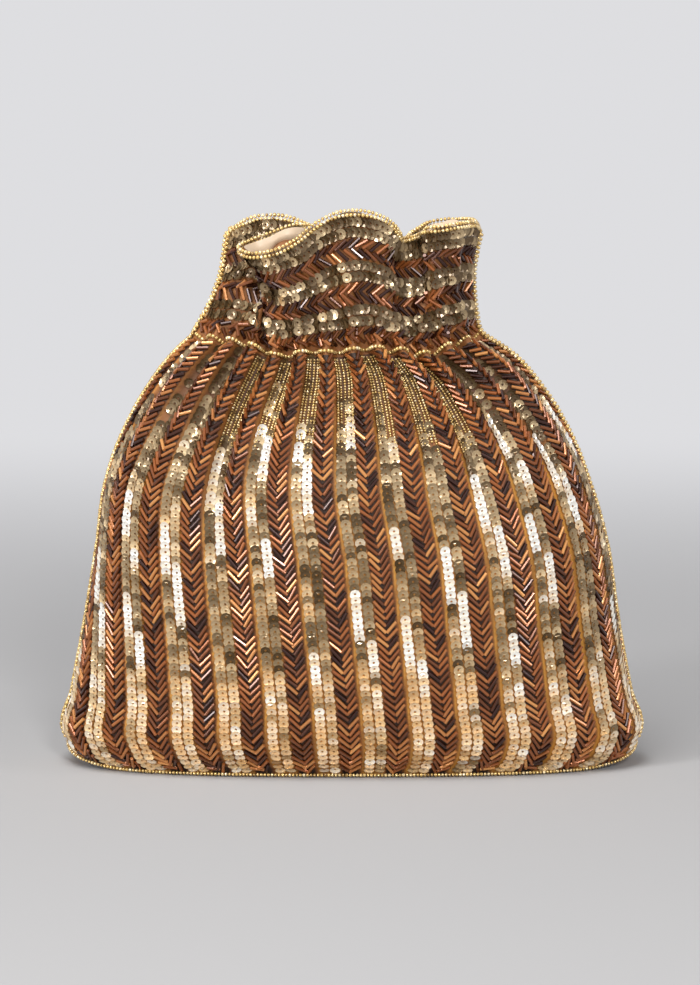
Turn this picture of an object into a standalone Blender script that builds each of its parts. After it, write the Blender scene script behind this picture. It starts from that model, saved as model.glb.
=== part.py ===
"""A beaded potli bag: two striped panels gathered at the neck under a fluted, open collar.

Units are metres, +Z is up and the front faces -Y. The bag rests on its flat base at Z = 0.
Every cloth surface is given by its outer face, as rows of points over one set of columns.
"""

import math

import bmesh
import bpy
import numpy as np

# Stripes, measured flat across a panel
STRIPES = 14
PITCH = 0.0184
SEQUIN_WIDTH = 0.0084
SIDE_CUT = 0.0168
CUT_START = 0.005
CUT_HEIGHT = 0.110

# Body
NECK_HEIGHT = 0.171
BASE_HALF_WIDTH = 0.1154
NECK_HALF_WIDTH = 0.056
BELLY_HALF_DEPTH = 0.0455
NECK_HALF_DEPTH = 0.033
NECK_OFFSET = -0.0059
FOOT_HEIGHT = 0.0026
CORNER_RISE = 0.0085
CORNER_SHARE = 0.24
BODY_ROWS = (0.0, 0.07, 0.24, 0.44, 0.61, 0.76, 0.89, 1.0)

# Shares of the neck height, and at each the half width, front and back depth, sideways
# offset and squareness of the body's cross section
HEIGHT_SHARES = (0.0, 0.018, 0.07, 0.175, 0.35, 0.526, 0.673, 0.784, 0.877, 0.953, 1.0)
WIDTH_SHARES = (0.71, 0.875, 1.0, 0.94, 0.845, 0.764, 0.67, 0.545, 0.377, 0.182, 0.0)
FRONT_SHARES = (-0.32, -0.12, 0.36, 0.72, 0.96, 1.0, 0.88, 0.68, 0.4, 0.16, 0.0)
BACK_SHARES = (-0.1, 0.08, 0.5, 0.84, 1.0, 1.0, 0.88, 0.68, 0.4, 0.16, 0.0)
OFFSET_SHARES = (0.0, 0.0, 0.0, 0.05, 0.03, 0.0, 0.3, 0.37, 0.47, 0.65, 1.0)
SQUARENESS = (2.6, 2.6, 2.5, 2.4, 2.3, 2.3, 2.2, 2.15, 2.1, 2.05, 2.0)

# Pleats: each lies along a sequin stripe. A pleat has the share of the neck height where it
# starts and the angle it turns to at the neck, and two pleats are deep.
PLEAT_START = 0.70
PLEAT_TURN = 1.35
PLEAT_GROWTH = 0.8
OTHER_PLEATS = {2: (0.70, 0.7), 5: (0.50, 1.5), 11: (0.66, 1.5), 14: (0.70, 0.7)}
# How far the neck seam rises over its plain height, from the left of the front to the right
NECK_RISES = (0.0025, 0.003, 0.003, 0.0015, -0.0025, -0.001, -0.001, 0.0005, 0.0,
              -0.002, 0.001, 0.003, 0.003)
NECK_RISE_START = 0.72

# Collar
COLLAR_LENGTH = 0.051
COLLAR_BANDS = (0.007, 0.0246, 0.0422)
RIM_RISE = 0.045
RIM_HALF_WIDTH = 0.0495
RIM_HALF_DEPTH = 0.0335
WAIST_PINCH = 0.05
PLEAT_FADE = 4
# The rim's route from the left seam to the right, in shares of its half width and half
# depth, with each point's height over the rim's own
RIM_FRONT = (
    (-1.00, 0.00, -0.003), (-0.90, -0.10, 0.000), (-0.74, -0.17, 0.003),
    (-0.56, -0.20, 0.003), (-0.40, -0.26, 0.001), (-0.37, -0.42, 0.000),
    (-0.47, -0.53, 0.000), (-0.64, -0.56, -0.003), (-0.80, -0.61, -0.006),
    (-0.88, -0.76, -0.008), (-0.80, -0.92, -0.010), (-0.62, -1.00, -0.009),
    (-0.44, -1.00, -0.005), (-0.26, -0.93, 0.002), (-0.08, -0.97, 0.006),
    (0.12, -1.02, 0.006), (0.28, -0.96, 0.003), (0.37, -0.80, -0.003),
    (0.38, -0.55, -0.005), (0.46, -0.36, -0.005), (0.55, -0.54, -0.003),
    (0.57, -0.74, -0.001), (0.68, -0.84, 0.000), (0.84, -0.78, 0.001),
    (0.96, -0.46, 0.001), (1.02, -0.06, -0.002),
)
RIM_BACK = (
    (-1.00, 0.00, -0.003), (-0.98, 0.24, -0.003), (-0.90, 0.52, -0.003),
    (-0.74, 0.72, -0.004), (-0.56, 0.66, -0.008), (-0.44, 0.42, -0.012),
    (-0.32, 0.62, -0.013), (-0.18, 0.90, -0.009), (0.02, 0.98, -0.006),
    (0.20, 0.86, -0.008), (0.30, 0.54, -0.011), (0.40, 0.38, -0.009),
    (0.50, 0.60, -0.004), (0.68, 0.78, -0.001), (0.88, 0.62, 0.000),
    (0.99, 0.26, 0.000), (1.02, -0.06, -0.002),
)

# Layers
PANEL_WALL = 0.002
LINING_WALL = 0.0008
SEQUIN_THICKNESS = 0.0008
CLEARANCE = 0.0003
SEAM_GAP = 0.0028
LINING_SLACK = 0.0018
LINING_BODY_ROWS = (0, 2, 4, 5, 6)
NECK_SEAM = 0.003
RIM_BEAD_RADIUS = 0.0012
NECK_BEAD_RADIUS = 0.0006
SIDE_BEAD_RADIUS = 0.0011
BOTTOM_BEAD_RADIUS = 0.0008
BASE_INSET = 0.0006
SEQUIN_START = 0.12
SEQUIN_CLEARANCE = 0.0006
MOST_MITRE = 1.5
CUT_SEQUINS_END = 0.8

# Colours and finishes: colour, roughness, metallic
FINISHES = {
    "bugle_beads": ((0.30, 0.12, 0.045, 1), 0.25, 0.6),
    "sequins": ((0.80, 0.68, 0.48, 1), 0.25, 0.8),
    "seed_beads": ((0.72, 0.50, 0.17, 1), 0.2, 0.3),
    "satin": ((0.72, 0.55, 0.36, 1), 0.5, 0.0),
}

HALF_WIDTH_FLAT = STRIPES * PITCH / 2
FRONT, BACK = -1, 1
RING_SAMPLES = 160
FLAT_SAMPLES = 700
RIM_SAMPLES = 500
SHARE_STEP = 0.004
HEIGHT_STEP = 0.001


def clear_scene():
    for old in list(bpy.data.objects):
        bpy.data.objects.remove(old, do_unlink=True)


def make_collection(name):
    collection = bpy.data.collections.new(name)
    bpy.context.scene.collection.children.link(collection)
    return collection


def make_material(name):
    colour, roughness, metallic = FINISHES[name]
    material = bpy.data.materials.new(name)
    material.use_nodes = True
    shader = material.node_tree.nodes["Principled BSDF"]
    shader.inputs["Base Color"].default_value = colour
    shader.inputs["Roughness"].default_value = roughness
    shader.inputs["Metallic"].default_value = metallic
    material.diffuse_color = colour
    return material


def ease(value):
    value = np.clip(value, 0.0, 1.0)
    return value * value * (3 - 2 * value)


def spline(knots, values, at):
    """A smooth curve through the values at the knots, read at the given places."""
    knots = np.asarray(knots, float)
    values = np.asarray(values, float)
    slopes = np.gradient(values, knots)
    at = np.clip(at, knots[0], knots[-1])
    cell = np.clip(np.searchsorted(knots, at, side="right") - 1, 0, len(knots) - 2)
    width = knots[cell + 1] - knots[cell]
    u = (at - knots[cell]) / width
    return (
        values[cell] * (1 + 2 * u) * (1 - u) ** 2
        + slopes[cell] * width * u * (1 - u) ** 2
        + values[cell + 1] * u * u * (3 - 2 * u)
        + slopes[cell + 1] * width * u * u * (u - 1)
    )


def stripe_middle(stripe):
    """Where a sequin stripe lies across the flat panel. Stripes count from 1 at the left."""
    return (stripe - (STRIPES + 1) / 2) * PITCH


def left_edge(height):
    """The panel narrows at the left, above the base's corner, and cuts off the first stripe."""
    return SIDE_CUT * ease((height - CUT_START) / CUT_HEIGHT) - HALF_WIDTH_FLAT


def body_section(height):
    """Half width, front depth, back depth, sideways offset and squareness at a height."""
    share = height / NECK_HEIGHT
    width = spline(HEIGHT_SHARES, WIDTH_SHARES, share)
    front = spline(HEIGHT_SHARES, FRONT_SHARES, share)
    back = spline(HEIGHT_SHARES, BACK_SHARES, share)
    return (
        NECK_HALF_WIDTH + (BASE_HALF_WIDTH - NECK_HALF_WIDTH) * width,
        NECK_HALF_DEPTH + (BELLY_HALF_DEPTH - NECK_HALF_DEPTH) * front,
        NECK_HALF_DEPTH + (BELLY_HALF_DEPTH - NECK_HALF_DEPTH) * back,
        NECK_OFFSET * spline(HEIGHT_SHARES, OFFSET_SHARES, share),
        spline(HEIGHT_SHARES, SQUARENESS, share),
    )


def ring_point(height, share, side):
    """The point a share of the way round the smooth half section, from the left seam."""
    half_width, front, back, offset, squareness = body_section(height)
    turn = np.linspace(math.pi, 0, RING_SAMPLES)
    power = 2 / squareness
    xs = offset + half_width * np.sign(np.cos(turn)) * np.abs(np.cos(turn)) ** power
    ys = side * (front if side == FRONT else back) * np.abs(np.sin(turn)) ** power
    run = np.concatenate([[0], np.cumsum(np.hypot(np.diff(xs), np.diff(ys)))])
    at = share * run[-1]
    return np.array([np.interp(at, run, xs), np.interp(at, run, ys), height])


def pleat_turn(stripe, height):
    """How steeply the cloth turns into this stripe's pleat, as an angle."""
    start, full = OTHER_PLEATS.get(stripe, (PLEAT_START, PLEAT_TURN))
    return full * np.clip((height / NECK_HEIGHT - start) / (1 - start), 0, 1) ** PLEAT_GROWTH


def pleated(height, flat):
    """For places across the flat panel, the share of the way round and the pleat's depth."""
    across = np.linspace(left_edge(height), HALF_WIDTH_FLAT, FLAT_SAMPLES)
    turn = np.zeros(FLAT_SAMPLES)
    for stripe in range(2, STRIPES + 1):
        from_middle = (across - stripe_middle(stripe)) / (PITCH / 2)
        inside = np.abs(from_middle) < 1
        turn += pleat_turn(stripe, height) * np.sin(math.pi * from_middle) * inside
    step = across[1] - across[0]
    along = np.concatenate([[0], np.cumsum(np.cos(turn[:-1]) * step)])
    depth = np.concatenate([[0], np.cumsum(np.sin(turn[:-1]) * step)])
    flat = np.clip(flat, across[0], across[-1])
    return np.interp(flat, across, along) / along[-1], np.interp(flat, across, depth)


def neck_rise(share, side):
    """The neck seam's height over the plain neck, a share of the way across a panel."""
    if side == BACK:
        return NECK_RISES[0] + (NECK_RISES[-1] - NECK_RISES[0]) * share
    return spline(np.linspace(0, 1, len(NECK_RISES)), NECK_RISES, share)


def smooth_body(height, share, side):
    """The body's outer face before it is pleated."""
    point = ring_point(height, share, side)
    lift = ease((height / NECK_HEIGHT - NECK_RISE_START) / (1 - NECK_RISE_START))
    point[2] += neck_rise(share, side) * lift
    return point


def body_point(height, level, flat, side):
    """A point of the body's outer face, with the pleats and side cut of a level."""
    share, depth = pleated(level, flat)
    before = smooth_body(height, max(share - SHARE_STEP, 0), side)
    after = smooth_body(height, min(share + SHARE_STEP, 1), side)
    below = smooth_body(height - HEIGHT_STEP, share, side)
    above = smooth_body(min(height + HEIGHT_STEP, NECK_HEIGHT), share, side)
    outward = np.cross(after - before, above - below) * -side
    outward /= np.linalg.norm(outward)
    return smooth_body(height, share, side) + outward * depth


def foot_height(share):
    """The height of a panel's bottom edge, which rises to the seam at each corner."""
    from_end = 1 - np.abs(2 * share - 1)
    return FOOT_HEIGHT + CORNER_RISE * (1 - np.clip(from_end / CORNER_SHARE, 0, 1)) ** 2


def flat_columns():
    """Columns across a body panel: both edges of each sequin stripe and the band's crest."""
    columns = [-HALF_WIDTH_FLAT]
    for stripe in range(1, STRIPES + 1):
        middle = stripe_middle(stripe)
        columns += [middle - SEQUIN_WIDTH / 2, middle + SEQUIN_WIDTH / 2, middle + PITCH / 2]
    return columns


def collar_columns():
    """Columns across the collar: each pleat's valley and crest, between the side seams."""
    columns = [left_edge(NECK_HEIGHT)]
    for stripe in range(2, STRIPES + 1):
        columns += [stripe_middle(stripe), stripe_middle(stripe) + PITCH / 2]
    return columns


def body_row(row, flat, side, plain=False):
    """A point of the body by its row, from the foot to just under the neck seam."""
    level = NECK_HEIGHT * BODY_ROWS[row]
    share, _ = pleated(level, flat)
    low = foot_height(share)
    height = low + (NECK_HEIGHT - NECK_SEAM / 2 - low) * BODY_ROWS[row]
    if plain:
        return smooth_body(height, share, side)
    return body_point(height, level, flat, side)


def plain_body_row(row, flat, side):
    return body_row(row, flat, side, plain=True)


def rim_route(points):
    """A dense smooth route through the rim's points, and how far along each place is."""
    sizes = np.array([RIM_HALF_WIDTH, RIM_HALF_DEPTH, 1.0])
    route = np.array(points) * sizes + np.array([0, 0, NECK_HEIGHT + RIM_RISE])
    gaps = np.linalg.norm(np.diff(route, axis=0), axis=1)
    knots = np.concatenate([[0], np.cumsum(gaps)])
    at = np.linspace(0, knots[-1], RIM_SAMPLES)
    dense = np.array([spline(knots, route[:, axis], at) for axis in range(3)]).T
    run = np.linalg.norm(np.diff(dense, axis=0), axis=1)
    return dense, np.concatenate([[0], np.cumsum(run)])


def plain_collar_point(length, flat, side):
    return collar_point(length, flat, side, plain=True)


def collar_point(length, flat, side, plain=False):
    """A point of the collar's outer face, a length up from the neck seam."""
    dense, run = rim_route(RIM_FRONT if side == FRONT else RIM_BACK)
    left = left_edge(NECK_HEIGHT)
    share = (flat - left) / (HALF_WIDTH_FLAT - left)
    rim = np.array([np.interp(share * run[-1], run, dense[:, axis]) for axis in range(3)])
    up = length / COLLAR_LENGTH
    round_share, _ = pleated(NECK_HEIGHT, flat)
    neck = smooth_body(NECK_HEIGHT, round_share, side)
    if not plain:
        pleat = body_point(NECK_HEIGHT, NECK_HEIGHT, flat, side) - neck
        neck += pleat * (1 - up) ** PLEAT_FADE
    neck[2] += NECK_SEAM / 2
    point = neck + (rim - neck) * up
    point[:2] *= 1 - WAIST_PINCH * math.sin(math.pi * up)
    return point


def around(point_at, columns, rows):
    """Rings of points, one for each row: the front from left to right, then the back."""
    rings = []
    for row in rows:
        front = [point_at(row, flat, FRONT) for flat in columns]
        back = [point_at(row, flat, BACK) for flat in columns[-2:0:-1]]
        rings.append(np.array(front + back))
    return np.array(rings)


def surface_mesh(rings, closed):
    """A mesh over rows of points, low row first, each running anticlockwise from above."""
    mesh = bmesh.new()
    known = {}

    def vertex(point):
        place = tuple(np.round(point, 6))
        if place not in known:
            known[place] = mesh.verts.new(point)
        return known[place]

    grid = [[vertex(point) for point in ring] for ring in rings]
    count = len(grid[0])
    for low, high in zip(grid, grid[1:]):
        for column in range(count if closed else count - 1):
            after = (column + 1) % count
            corners = dict.fromkeys((low[column], low[after], high[after], high[column]))
            if len(corners) > 2:
                mesh.faces.new(corners)
    bmesh.ops.triangulate(mesh, faces=mesh.faces[:], quad_method="FIXED")
    mesh.normal_update()
    return mesh, grid


def offset_rings(rings, distance):
    """Rings moved outward by a distance, or inward by a negative one, further at folds."""
    mesh, grid = surface_mesh(rings, closed=True)
    moved = [
        [v.co + v.normal * min(v.calc_shell_factor(), MOST_MITRE) * distance for v in ring]
        for ring in grid
    ]
    mesh.free()
    return np.array(moved)


def add_object(collection, name, mesh, material, wall, outward=False):
    """An open surface as an object, given its thickness inward or outward."""
    data = bpy.data.meshes.new(name)
    mesh.to_mesh(data)
    mesh.free()
    data.materials.append(material)
    obj = bpy.data.objects.new(name, data)
    collection.objects.link(obj)
    solid = obj.modifiers.new("wall", "SOLIDIFY")
    solid.thickness = wall
    solid.offset = 1 if outward else -1
    return obj


def pulled(start, towards, distance):
    """A point moved a distance towards another."""
    step = towards - start
    return start + step * (distance / np.linalg.norm(step))


def half_rings(rings, side, columns):
    """The front or back half of full rings, left to right, stopping short of the seams."""
    if side == FRONT:
        half = rings[:, :columns].copy()
    else:
        half = np.concatenate([rings[:, :1], rings[:, :columns - 2:-1]], axis=1)
    for row in half:
        away = np.linalg.norm(row - row[0], axis=1)
        first = int(np.argmax(away > SEAM_GAP))
        row[:first] = pulled(row[0], row[first], SEAM_GAP / 2)
        row[-1] = pulled(row[-1], row[-2], SEAM_GAP / 2)
    return half


def facing_out(rings, side):
    """Rows in the order whose faces look outward: the back runs the other way."""
    return rings if side == FRONT else rings[:, ::-1]


def base_rows(front_foot, back_foot):
    """The base under the bag, from the seam at the front panel's foot to the back panel's."""
    rows = []
    for foot in (front_foot, back_foot):
        row = foot - np.array([0, 0, FOOT_HEIGHT])
        row[:, 1] -= np.sign(row[:, 1]) * np.minimum(BASE_INSET, np.abs(row[:, 1]) / 2)
        rows.append(row)
    return np.array(rows)


def make_panel(collection, material, rings, side, columns):
    half = half_rings(rings, side, columns)
    name = "front_panel"
    if side == BACK:
        name = "back_panel"
        front_foot = half_rings(rings, FRONT, columns)[0]
        half = np.concatenate([base_rows(front_foot, half[0]), half])
    mesh, _ = surface_mesh(facing_out(half, side), closed=False)
    return add_object(collection, name, mesh, material, PANEL_WALL)


def make_sequin_rows(collection, material, rings, side, columns):
    """Each sequin stripe as a thin strip that lies on the panel."""
    laid = half_rings(offset_rings(rings, SEQUIN_CLEARANCE), side, columns)
    laid[0] += (laid[1] - laid[0]) * SEQUIN_START
    word = "front" if side == FRONT else "back"
    for stripe in range(1, STRIPES + 1):
        first = 3 * stripe - 2
        rows = laid[:, first:first + 2].copy()
        cut = np.linalg.norm(rows[:, 1] - rows[:, 0], axis=1) < SEQUIN_WIDTH / 2
        if cut.any():
            rows = rows[:int(np.argmax(cut))]
            rows[-1] = rows[-2] + (rows[-1] - rows[-2]) * CUT_SEQUINS_END
        mesh, _ = surface_mesh(facing_out(rows, side), closed=False)
        name = f"sequin_row_{word}_{stripe:02d}"
        add_object(collection, name, mesh, material, SEQUIN_THICKNESS, outward=True)


def make_collar(collection, material, rings, side, columns):
    half = half_rings(rings, side, columns)
    mesh, _ = surface_mesh(facing_out(half, side), closed=False)
    name = "collar_front" if side == FRONT else "collar_back"
    return add_object(collection, name, mesh, material, PANEL_WALL)


def make_collar_bands(collection, material, rings, side, columns):
    laid = half_rings(offset_rings(rings, CLEARANCE), side, columns)
    word = "front" if side == FRONT else "back"
    for band, place in enumerate(("low", "middle", "top")):
        rows = laid[2 * band + 1:2 * band + 3].copy()
        mesh, _ = surface_mesh(facing_out(rows, side), closed=False)
        name = f"collar_sequins_{word}_{place}"
        add_object(collection, name, mesh, material, SEQUIN_THICKNESS, outward=True)


def make_tube(collection, name, material, points, radius, closed=False):
    curve = bpy.data.curves.new(name, "CURVE")
    curve.dimensions = "3D"
    curve.bevel_depth = radius
    curve.bevel_resolution = 1
    curve.use_fill_caps = True
    line = curve.splines.new("POLY")
    line.points.add(len(points) - 1)
    for place, point in zip(line.points, points):
        place.co = (*point, 1)
    line.use_cyclic_u = closed
    curve.materials.append(material)
    obj = bpy.data.objects.new(name, curve)
    collection.objects.link(obj)
    return obj


def every_other(ring):
    """A ring with its odd columns moved onto even ones, alike on the front and the back."""
    half = len(ring) // 2
    fewer = ring.copy()
    fewer[1:half:2] = ring[0:half - 1:2]
    fewer[half + 1::2] = np.roll(ring, -1, axis=0)[half + 1::2]
    return fewer


def deepest_pleat(level):
    middles = [stripe_middle(stripe) for stripe in range(1, STRIPES + 1)]
    return -pleated(level, np.array(middles))[1].min()


def make_lining(collection, material, columns):
    """The satin bag inside. It follows the collar's folds and hangs plainly in the body."""
    depth = PANEL_WALL + CLEARANCE
    left = columns[0]
    share = (np.array(columns) - left) / (HALF_WIDTH_FLAT - left)
    rings = []
    for row in LINING_BODY_ROWS:
        level = NECK_HEIGHT * BODY_ROWS[row]
        edge = left_edge(level)
        flat = list(edge + share * (HALF_WIDTH_FLAT - edge))
        inside = depth + LINING_SLACK + deepest_pleat(level)
        ring = offset_rings(around(plain_body_row, flat, (row, row + 1)), -inside)[0]
        if row < LINING_BODY_ROWS[-2]:
            ring = every_other(ring)
        rings.append(ring)
    foot = rings[0]
    floor = foot_height(np.concatenate([share, share[-2:0:-1]])) - FOOT_HEIGHT + depth
    floor += LINING_SLACK
    floor = every_other(floor)
    foot[:, 2] = np.maximum(foot[:, 2], floor)
    middle = (foot + np.roll(foot[::-1], 1, axis=0)) / 2
    middle[:, 2] = floor
    plain_collar = around(plain_collar_point, columns, collar_rows())
    for index, length in enumerate(collar_rows()):
        fade = (1 - length / COLLAR_LENGTH) ** PLEAT_FADE
        inside = depth + (LINING_SLACK + deepest_pleat(NECK_HEIGHT)) * fade
        rings.append(offset_rings(plain_collar, -inside)[index])
    rings = np.array([middle, *rings])
    mesh, _ = surface_mesh(rings, closed=True)
    add_object(collection, "lining", mesh, material, LINING_WALL)


def make_beading(collection, material, body, collar, columns, collar_flat):
    """The rows of seed beads that edge the rim and cover the neck, side and bottom seams."""
    up = collar[-1] - collar[-2]
    up /= np.linalg.norm(up, axis=1)[:, None]
    rim = offset_rings(collar, -PANEL_WALL / 2)[-1] + up * (RIM_BEAD_RADIUS + 3 * CLEARANCE)
    make_tube(collection, "rim_beading", material, rim, RIM_BEAD_RADIUS, closed=True)
    neck = collar[0] - np.array([0, 0, NECK_SEAM / 2])
    make_tube(collection, "neck_beading", material, neck, NECK_BEAD_RADIUS, closed=True)
    out = CLEARANCE + SIDE_BEAD_RADIUS
    body_out = offset_rings(body, out)
    collar_out = offset_rings(collar, out)
    for word, low, high in (("left", 0, 0), ("right", columns - 1, len(collar_flat) - 1)):
        line = np.concatenate([body_out[:, low], collar_out[:, high]])
        line[0] = pulled(line[0], line[1], 2 * SIDE_BEAD_RADIUS)
        line[-1] = pulled(line[-1], line[-2], 2 * RIM_BEAD_RADIUS)
        make_tube(collection, f"side_beading_{word}", material, line, SIDE_BEAD_RADIUS)
    foot = half_rings(body, FRONT, columns)[0][1:-1]
    foot[:, 2] -= FOOT_HEIGHT / 2 + CLEARANCE / 3
    foot[:, 1] -= BASE_INSET
    make_tube(collection, "bottom_beading", material, foot, BOTTOM_BEAD_RADIUS)


def collar_rows():
    rows = [0.0]
    for low in COLLAR_BANDS:
        rows += [low, low + SEQUIN_WIDTH]
    rows[-1] = COLLAR_LENGTH
    return rows


def build():
    clear_scene()
    bag = make_collection("potli_bag")
    materials = {name: make_material(name) for name in FINISHES}
    columns = flat_columns()
    body = around(body_row, columns, range(len(BODY_ROWS)))
    collar_flat = collar_columns()
    collar = around(collar_point, collar_flat, collar_rows())
    for side in (FRONT, BACK):
        make_panel(bag, materials["bugle_beads"], body, side, len(columns))
        make_sequin_rows(bag, materials["sequins"], body, side, len(columns))
        make_collar(bag, materials["bugle_beads"], collar, side, len(collar_flat))
        make_collar_bands(bag, materials["sequins"], collar, side, len(collar_flat))
    make_lining(bag, materials["satin"], collar_flat)
    make_beading(bag, materials["seed_beads"], body, collar, len(columns), collar_flat)


build()
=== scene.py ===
"""The potli bag as it looks: bead by bead, over gathered silk with a satin lining."""

import math

import bpy
import numpy as np
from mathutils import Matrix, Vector


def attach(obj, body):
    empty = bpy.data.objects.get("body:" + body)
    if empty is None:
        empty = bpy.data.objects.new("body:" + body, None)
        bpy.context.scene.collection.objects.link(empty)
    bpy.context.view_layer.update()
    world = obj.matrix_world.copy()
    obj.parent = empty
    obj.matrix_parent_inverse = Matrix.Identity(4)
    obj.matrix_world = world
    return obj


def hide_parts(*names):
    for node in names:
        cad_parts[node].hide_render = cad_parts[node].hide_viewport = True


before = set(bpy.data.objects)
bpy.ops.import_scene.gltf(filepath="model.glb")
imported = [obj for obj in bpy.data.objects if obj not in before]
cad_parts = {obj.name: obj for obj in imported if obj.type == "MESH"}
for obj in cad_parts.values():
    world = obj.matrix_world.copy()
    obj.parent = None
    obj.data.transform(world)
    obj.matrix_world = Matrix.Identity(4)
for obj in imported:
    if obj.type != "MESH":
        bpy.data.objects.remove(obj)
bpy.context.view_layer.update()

# The bag's shape, in metres, as in the solid model
STRIPES = 14
PITCH = 0.0184
SEQUIN_WIDTH = 0.0084
SIDE_CUT = 0.0168
CUT_START = 0.005
CUT_HEIGHT = 0.110
NECK_HEIGHT = 0.171
BASE_HALF_WIDTH = 0.1154
NECK_HALF_WIDTH = 0.056
BELLY_HALF_DEPTH = 0.0455
NECK_HALF_DEPTH = 0.033
NECK_OFFSET = -0.0059
FOOT_HEIGHT = 0.0026
CORNER_RISE = 0.0085
CORNER_SHARE = 0.24
HEIGHT_SHARES = (0.0, 0.018, 0.07, 0.175, 0.35, 0.526, 0.673, 0.784, 0.877, 0.953, 1.0)
WIDTH_SHARES = (0.71, 0.875, 1.0, 0.94, 0.845, 0.764, 0.67, 0.545, 0.377, 0.182, 0.0)
FRONT_SHARES = (-0.32, -0.12, 0.36, 0.72, 0.96, 1.0, 0.88, 0.68, 0.4, 0.16, 0.0)
BACK_SHARES = (-0.1, 0.08, 0.5, 0.84, 1.0, 1.0, 0.88, 0.68, 0.4, 0.16, 0.0)
OFFSET_SHARES = (0.0, 0.0, 0.0, 0.05, 0.03, 0.0, 0.3, 0.37, 0.47, 0.65, 1.0)
SQUARENESS = (2.6, 2.6, 2.5, 2.4, 2.3, 2.3, 2.2, 2.15, 2.1, 2.05, 2.0)
PLEAT_START = 0.70
PLEAT_TURN = 1.35
PLEAT_GROWTH = 0.8
OTHER_PLEATS = {2: (0.70, 0.7), 5: (0.50, 1.5), 11: (0.66, 1.5), 14: (0.70, 0.7)}
NECK_RISES = (0.0025, 0.003, 0.003, 0.0015, -0.0025, -0.001, -0.001, 0.0005, 0.0,
              -0.002, 0.001, 0.003, 0.003)
NECK_RISE_START = 0.72
COLLAR_LENGTH = 0.051
COLLAR_BANDS = (0.007, 0.0246, 0.0422)
RIM_RISE = 0.045
RIM_HEIGHT = NECK_HEIGHT + RIM_RISE
RIM_HALF_WIDTH = 0.0495
RIM_HALF_DEPTH = 0.0335
WAIST_PINCH = 0.05
PLEAT_FADE = 4
RIM_FRONT = (
    (-1.00, 0.00, -0.003), (-0.90, -0.10, 0.000), (-0.74, -0.17, 0.003),
    (-0.56, -0.20, 0.003), (-0.40, -0.26, 0.001), (-0.37, -0.42, 0.000),
    (-0.47, -0.53, 0.000), (-0.64, -0.56, -0.003), (-0.80, -0.61, -0.006),
    (-0.88, -0.76, -0.008), (-0.80, -0.92, -0.010), (-0.62, -1.00, -0.009),
    (-0.44, -1.00, -0.005), (-0.26, -0.93, 0.002), (-0.08, -0.97, 0.006),
    (0.12, -1.02, 0.006), (0.28, -0.96, 0.003), (0.37, -0.80, -0.003),
    (0.38, -0.55, -0.005), (0.46, -0.36, -0.005), (0.55, -0.54, -0.003),
    (0.57, -0.74, -0.001), (0.68, -0.84, 0.000), (0.84, -0.78, 0.001),
    (0.96, -0.46, 0.001), (1.02, -0.06, -0.002),
)
RIM_BACK = (
    (-1.00, 0.00, -0.003), (-0.98, 0.24, -0.003), (-0.90, 0.52, -0.003),
    (-0.74, 0.72, -0.004), (-0.56, 0.66, -0.008), (-0.44, 0.42, -0.012),
    (-0.32, 0.62, -0.013), (-0.18, 0.90, -0.009), (0.02, 0.98, -0.006),
    (0.20, 0.86, -0.008), (0.30, 0.54, -0.011), (0.40, 0.38, -0.009),
    (0.50, 0.60, -0.004), (0.68, 0.78, -0.001), (0.88, 0.62, 0.000),
    (0.99, 0.26, 0.000), (1.02, -0.06, -0.002),
)
NECK_SEAM = 0.003
HALF_WIDTH_FLAT = STRIPES * PITCH / 2
FRONT, BACK = -1, 1
WORDS = {FRONT: "front", BACK: "back"}

# What the shape gets beyond the solid model
CREASE_DEPTH = 0.0024
CREASE_EDGE = 0.01
CREASE_COUNT = 290
CREASE_SLANT = 3.5
CREASE_BEND = 1.5
CREASE_BEND_COUNT = 70
WIDE_CREASE = 0.6
WIDE_CREASE_COUNT = 170
WIDE_CREASE_SLANT = -6.5
WIDE_CREASE_START = 2.0
CREASE_SINK = 1.1
# The pleat depth at which the painted shade of a valley is full; it is no part of the shape.
DEEP_PLEAT = 0.006

# Beads and sequins
BUGLE_LENGTH = 0.0060
BUGLE_RADIUS = 0.0007
BUGLE_SLANT = math.radians(48)
BUGLE_SPACING = 0.0028
BUGLE_COLUMN = 0.0021
BUGLE_JITTER = math.radians(4)
BAND_SHIFT = -0.0007
BAND_MARGIN = 0.0026
SEQUIN_SPACING = 0.0025
SEQUIN_COLUMN = 0.0022
SEQUIN_RADIUS = 0.0021
SEQUIN_JITTER = math.radians(4)
SEQUIN_MARGIN = 0.0018
SUNKEN_STRIPES = (5, 6, 7, 8, 9, 10, 11)
SEQUIN_TILT = math.radians(13)
COLLAR_FOOT = 0.0005
COLLAR_BUGLE_STARTS = (COLLAR_FOOT, *(band + SEQUIN_WIDTH for band in COLLAR_BANDS[:-1]))
COLLAR_BUGLE_REACH = 0.0046
COLLAR_BUGLE_MARGIN = 0.003
COLLAR_SEQUIN_MARGIN = 0.002
BUGLE_TONE = 0.4
BUGLE_TONE_SPREAD = 0.26
# How much darker the bugles are painted in the pleats' valleys: painted shade.
BUGLE_PAINTED_VALLEY_SHADE = 0.4
# The collar's bugles and sequins get lower tones than the panel's: painted shade of the collar's
# folds.
COLLAR_BUGLE_SHADED_TONE = 0.27
COLLAR_SEQUIN_SHADED_TONE = 0.1
SEQUIN_KHAKI_TONE = 0.2
SEQUIN_FOOT_TONE = 0.56
SEQUIN_TONE_SPREAD = 0.17
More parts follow.
